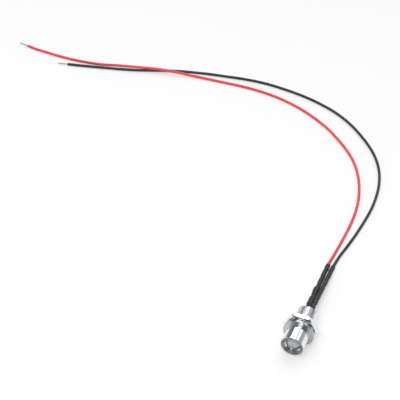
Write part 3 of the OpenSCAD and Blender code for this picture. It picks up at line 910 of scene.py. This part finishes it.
dress(chrome("bright_chrome_painted_shade", (0.83, 0.84, 0.86, 1), 1.2e-6, 0.05, 0.16, dished=True), holder)
dress(chrome("nickel_bright", (0.79, 0.80, 0.82, 1), 1.8e-6, 0.08, 0.2), nut)

# %% [markdown]
# ## Zinc-plated spring steel
#
# The washer is stamped from spring steel and zinc plated in a barrel: greyer and softer than the chrome
# beside it, mottled where the zinc grew in patches, with a faint blue and yellow cast from the clear
# passivation.

# %% Zinc on the washer
def zinc():
    finish = Finish("zinc_plate", metallic=1.0)
    place = finish.place()
    patches = finish.noise(place, 2.2, 3, 0.6).between(0.35, 0.65)
    grain = finish.noise(place, 16, 2, 0.5)
    tone = finish.mixed(patches, (0.42, 0.43, 0.45, 1), (0.56, 0.56, 0.55, 1))
    return finish.look(tone, 0.26 + patches * 0.14 + grain * 0.08, grain, 2.5e-6)


dress(zinc(), soft["toothed_washer"])

# %% [markdown]
# ## Clear epoxy
#
# The lens is glassy, with a refractive index of about 1.54. A perfectly clear shader would show it as a
# black hole, because nearly all that is seen through it is the dark bore. Real resin scatters some light in
# its depth, so about half of the shader is diffuse. Faint clouds change its tone and its gloss, the colour is
# painted darker round the lamp's axis as shade for the cup and the chip seen through the tip, and the mould
# left the surface a little uneven, so that reflections waver.

# %% Epoxy of the lens
LENS_CLEAR = 0.46
CORE_SHADE_R = (0.4, 1.7)


def epoxy():
    """The tone falls towards the lamp's axis, where the cup and the chip show through the tip."""
    finish = Finish("clear_epoxy_resin", transmission_weight=LENS_CLEAR, ior=1.54)
    place = finish.place()
    x, _, z = finish.parts(place)
    from_axis = (x * x + z * z) ** 0.5
    flow = finish.noise(place, 0.8, 2, 0.5)
    haze = finish.noise(place, 2.4, 3, 0.55).between(0.35, 0.75)
    # Painted shade: the colour turns grey round the axis, standing in for the cup and the chip seen through
    # the tip.
    painted_core_shade = 1 - (from_axis + flow * 0.5).between(*CORE_SHADE_R)
    cloudy = finish.mixed(haze, (0.98, 0.99, 1.0, 1), (0.88, 0.90, 0.92, 1))
    tone = finish.mixed(painted_core_shade * 0.6, cloudy, (0.44, 0.45, 0.46, 1))
    return finish.look(tone, 0.04 + haze * 0.08, flow, 8e-6)


dress(epoxy(), lens)

# %% [markdown]
# ## The lead frame, the chip and its bond wire
#
# The lead frame is stamped from steel strip and plated with silver inside the lens and tin outside it.
# Stamping drags fine lines along the sheet. The chip is a crystal a third of a millimetre wide, and a gold
# wire thinner than a hair joins its top to the other leg.

# %% Metals inside the lens
def plated(name, bright, dull, smooth, rough, scale, depth):
    """A soft bright metal, with patches of two greys and lines drawn along the lamp's axis."""
    finish = Finish(name, metallic=1.0)
    place = finish.place()
    lines = finish.noise(finish.stretched(place, (scale, scale * 0.12, scale)), 1, 3, 0.6)
    patches = finish.noise(place, 1.4, 3, 0.55).between(0.35, 0.7)
    tone = finish.mixed(patches, bright, dull)
    return finish.look(tone, smooth + patches * (rough - smooth) + lines * 0.06, lines, depth)


def crystal():
    finish = Finish("chip_crystal", coat_weight=0.6, coat_roughness=0.1)
    cells = finish.noise(finish.place(), 25, 2, 0.5)
    finish.feed("Base Color", finish.mixed(cells, (0.62, 0.50, 0.16, 1), (0.85, 0.74, 0.34, 1)))
    finish.feed("Roughness", 0.25 + cells * 0.15)
    return finish


silvered = plated("silvered_strip", (0.86, 0.85, 0.82, 1), (0.70, 0.69, 0.67, 1), 0.18, 0.34, 18, 2e-6)
tinned = plated("tinned_copper", (0.58, 0.56, 0.54, 1), (0.36, 0.35, 0.34, 1), 0.30, 0.48, 12, 3e-6)
gold = plated("gold_wire", (0.95, 0.70, 0.30, 1), (0.85, 0.58, 0.22, 1), 0.15, 0.25, 20, 1e-6)
solder = plated("soft_solder", (0.72, 0.72, 0.73, 1), (0.48, 0.48, 0.50, 1), 0.25, 0.55, 3, 8e-6)
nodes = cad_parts
dress(silvered, soft["cathode_frame"], soft["anode_frame"])
dress(gold, nodes["bond_wire"])
dress(crystal(), nodes["led_chip"])
dress(tinned, red_end, black_end)
for name in ("red_wire_root", "black_wire_root", "resistor_front_lead", "resistor_rear_lead"):
    dress(tinned, nodes[name])
for name in ("anode_joint", "red_wire_joint", "black_wire_joint"):
    dress(solder, nodes[name])

# %% [markdown]
# ## Moulded nylon and the resistor's lacquer
#
# The bush behind the lens is black nylon, with the fine matt grain of its mould. The resistor inside the
# red side's sleeve is dipped in lacquer and ringed with four colours: each ring is a stretch of the
# distance along the sleeve.

# %% Nylon and lacquer
RING_WIDTH = 0.22
RINGS = ((12.45, (0.30, 0.10, 0.03, 1)), (12.95, (0.01, 0.01, 0.01, 1)), (13.45, (0.30, 0.10, 0.03, 1)),
         (14.1, (0.75, 0.55, 0.15, 1)))


def nylon():
    finish = Finish("black_nylon")
    grain = finish.noise(finish.place(), 11, 3, 0.6)
    return finish.look(finish.mixed(grain, grey(0.012), grey(0.03)), 0.42 + grain * 0.2, grain, 6e-6)


def lacquer():
    """The distance along the sleeve is the dot product of its direction with the place from its start."""
    finish = Finish("ringed_lacquer", coat_weight=0.5, coat_roughness=0.12)
    start, mouth = RED_AXIS
    place = finish.place()
    from_start = finish.vector("SUBTRACT", place, start.tolist())
    along = finish.vector("DOT_PRODUCT", from_start, unit(mouth - start).tolist(), output=1)
    spots = finish.noise(place, 6, 3, 0.6)
    colour = finish.mixed(spots, (0.10, 0.27, 0.48, 1), (0.16, 0.36, 0.58, 1))
    for centre, ring in RINGS:
        here = 1 - ((along - centre) ** 2 * (4 / RING_WIDTH ** 2)).between(0.8, 1.2)
        colour = finish.mixed(here, colour, ring)
    return finish.look(colour, 0.28 + spots * 0.12, spots, 1.5e-5)


dress(nylon(), soft["moulded_bush"])
dress(lacquer(), nodes["resistor_body"], nodes["resistor_caps"])

# %% [markdown]
# ## Shrunk tube and insulation
#
# Both are plastic that was pressed through a die, so their marks run along them. The tube is charcoal and
# half matt, with pale drawn streaks, dust, and soft dents from the shrinking. The insulation is smooth and
# glossier. The patterns read the wrap coordinates of the meshes: two that go round and one that runs along,
# so that a streak is noise squeezed in the first two and stretched in the third, and no seam shows.

# %% Sleeve and wire finishes
def shrunk_tube():
    finish = Finish("shrunk_polyolefin")
    wrapped = finish.attribute("wrap")
    streaks = finish.noise(finish.stretched(wrapped, (4, 4, 0.45)), 1, 3, 0.55)
    lumps = finish.noise(finish.stretched(wrapped, (1.5, 1.5, 1.0)), 1, 1.5, 0.45)
    dust = finish.noise(finish.stretched(wrapped, (9, 9, 7)), 1, 3, 0.7).between(0.58, 0.8)
    tone = finish.mixed(streaks.between(0.35, 0.7), grey(0.008), grey(0.030))
    tone = finish.mixed(dust * 0.3, tone, (0.15, 0.15, 0.16, 1))
    return finish.look(tone, 0.36 + streaks * 0.22 + dust * 0.12, streaks * 0.12 + lumps, 1.5e-4)


def insulation(name, deep, pale, dust_colour):
    finish = Finish(name)
    wrapped = finish.attribute("wrap")
    drawn = finish.noise(finish.stretched(wrapped, (7, 7, 0.25)), 1, 3, 0.6)
    patches = finish.noise(finish.stretched(wrapped, (0.8, 0.8, 0.12)), 1, 3, 0.6).between(0.3, 0.7)
    dust = finish.noise(finish.stretched(wrapped, (8, 8, 6)), 1, 3, 0.7).between(0.66, 0.85)
    tone = finish.mixed(dust * 0.2, finish.mixed(patches, deep, pale), dust_colour)
    return finish.look(tone, 0.3 + drawn * 0.12 + dust * 0.15, drawn, 1.2e-5)


red_pvc = insulation("red_pvc", (0.74, 0.055, 0.075, 1), (0.84, 0.085, 0.110, 1), (0.88, 0.42, 0.42, 1))
black_pvc = insulation("black_pvc", (0.014, 0.014, 0.017, 1), (0.024, 0.024, 0.029, 1), (0.15, 0.15, 0.16, 1))
dress(shrunk_tube(), red_sleeve, black_sleeve)
dress(red_pvc, red_wire)
dress(black_pvc, black_wire)

# %% [markdown]
# ## The table
#
# The photograph was taken on white paper in a white light tent: the background is plain white, and the
# shadows are soft and pale. The table is a pale plane. Its diffuse colour lights the object from below.
# Where the camera or a ray through the lens sees it, some of its own glow is mixed in, and less of it where
# metal mirrors it, so that it reads as white paper while the shadows stay.

# %% Table
TABLE_HALF = 1.5
TABLE_GLOW = 0.42
TABLE_MIRRORED = 0.15
TABLE_PAPER = 0.955

table_mesh = bpy.data.meshes.new("table")
corners = np.array([(-1, -1), (1, -1), (1, 1), (-1, 1)]) * TABLE_HALF
table_mesh.from_pydata([(x, y, FLOOR_Z * MM) for x, y in corners.tolist()], [], [(0, 1, 2, 3)])
table = added("table", table_mesh)

paper = Finish("white_paper")
paper.tree.nodes.remove(paper.shader)
fibres = paper.noise(paper.place(), 0.9, 2, 0.5)
tone = paper.mixed(fibres, grey(TABLE_PAPER - 0.02), grey(TABLE_PAPER + 0.02))
diffuse = paper.node("ShaderNodeBsdfDiffuse", None, {"Color": tone})
glow = paper.node("ShaderNodeEmission", None, {"Color": grey(1.0), "Strength": 1.0})
share = paper.seen() * TABLE_GLOW + paper.ray("Glossy") * TABLE_MIRRORED
both = paper.node("ShaderNodeMixShader", None, {0: share, 1: diffuse, 2: glow})
paper.fill(paper.tree.nodes["Material Output"].inputs["Surface"], both)
dress(paper, table)

# %% [markdown]
# ## The tent and its lamps
#
# Chrome has no colour of its own and shows what stands around it, so the world is the tent: a white ceiling
# with a seam, a darker gap on each side of it, grey walls, and a dark opening at the front. How far a
# direction leans to the right, seen along the lamp's axis, says which of them lies there. The camera and a
# ray through the lens see plain white instead. Three soft lamps outside the cloth light everything else.

# %% Tent
CEILING = 1.25
LEFT_WALL = 0.3
RIGHT_WALL = 0.5
LEFT_GAP = 0.16
RIGHT_GAP = 0.4
CAMERA_SIDE = 0.08
SEAM = 0.42
LEFT_WALL_TO = (-0.95, -0.9)
CEILING_FROM = (-0.66, -0.54)
SEAM_FROM = (0.1, 0.22)
SEAM_TO = (0.36, 0.48)
RIGHT_HALF_FROM = (0.5, 0.6)
CEILING_TO = (0.66, 0.8)
RIGHT_WALL_FROM = (0.92, 0.97)
HORIZON = (-0.02, 0.08)
CAMERA_SIDE_FROM = (0.6, 0.85)


class Tent(Finish):
    """The world's nodes, made with a finish's methods."""

    def __init__(self):
        self.world = bpy.data.worlds.new("tent")
        self.world.use_nodes = True
        self.tree = self.world.node_tree
        self.shader = self.tree.nodes["Background"]


tent = Tent()
scene.world = tent.world
direction = tent.node("ShaderNodeTexCoord", output=0)
x, y, z = tent.parts(direction)
lean = x / (x * x + z * z + 0.0001) ** 0.5
ceiling = lean.between(*CEILING_FROM) * (1 - lean.between(*CEILING_TO)) * z.between(*HORIZON)
left_wall = 1 - lean.between(*LEFT_WALL_TO)
right_wall = lean.between(*RIGHT_WALL_FROM)
seam = lean.between(*SEAM_FROM) * (1 - lean.between(*SEAM_TO))
gap = LEFT_GAP + lean.between(*RIGHT_HALF_FROM) * (RIGHT_GAP - LEFT_GAP)
level = gap + ceiling * (1 - seam * SEAM) * (CEILING - gap)
level = level + left_wall * (LEFT_WALL - gap) + right_wall * (RIGHT_WALL - gap)
towards_camera = (CAMERA_AT - CAMERA_AIM).normalized()
camera_side = tent.vector("DOT_PRODUCT", direction, tuple(towards_camera), output=1)
level = level + camera_side.between(*CAMERA_SIDE_FROM) * (CAMERA_SIDE - level)
tent.feed("Color", tent.mixed(tent.seen(), tent.joined(level, level, level), grey(1.0)))

# %% Lamps
def soft_lamp(name, place, aim, size, watts):
    """A square lamp, whose size is the length of its side."""
    lamp = aimed(name, bpy.data.lights.new(name, "AREA"), place, aim)
    lamp.data.size = size
    lamp.data.energy = watts


soft_lamp("ceiling_lamp", (-0.15, 0.45, 0.75), (-0.03, 0.05, 0), 0.6, 1.0)
soft_lamp("front_lamp", (0.04, -0.34, 0.60), (-0.03, 0.03, 0), 0.3, 2.2)
soft_lamp("side_lamp", (-0.7, -0.1, 0.35), (0, 0, 0), 0.3, 0.7)

# %% [markdown]
# ## The finished scene
#
# The colours are shown as they are, with no film curve.

# %% View
scene.view_settings.view_transform = "Standard"
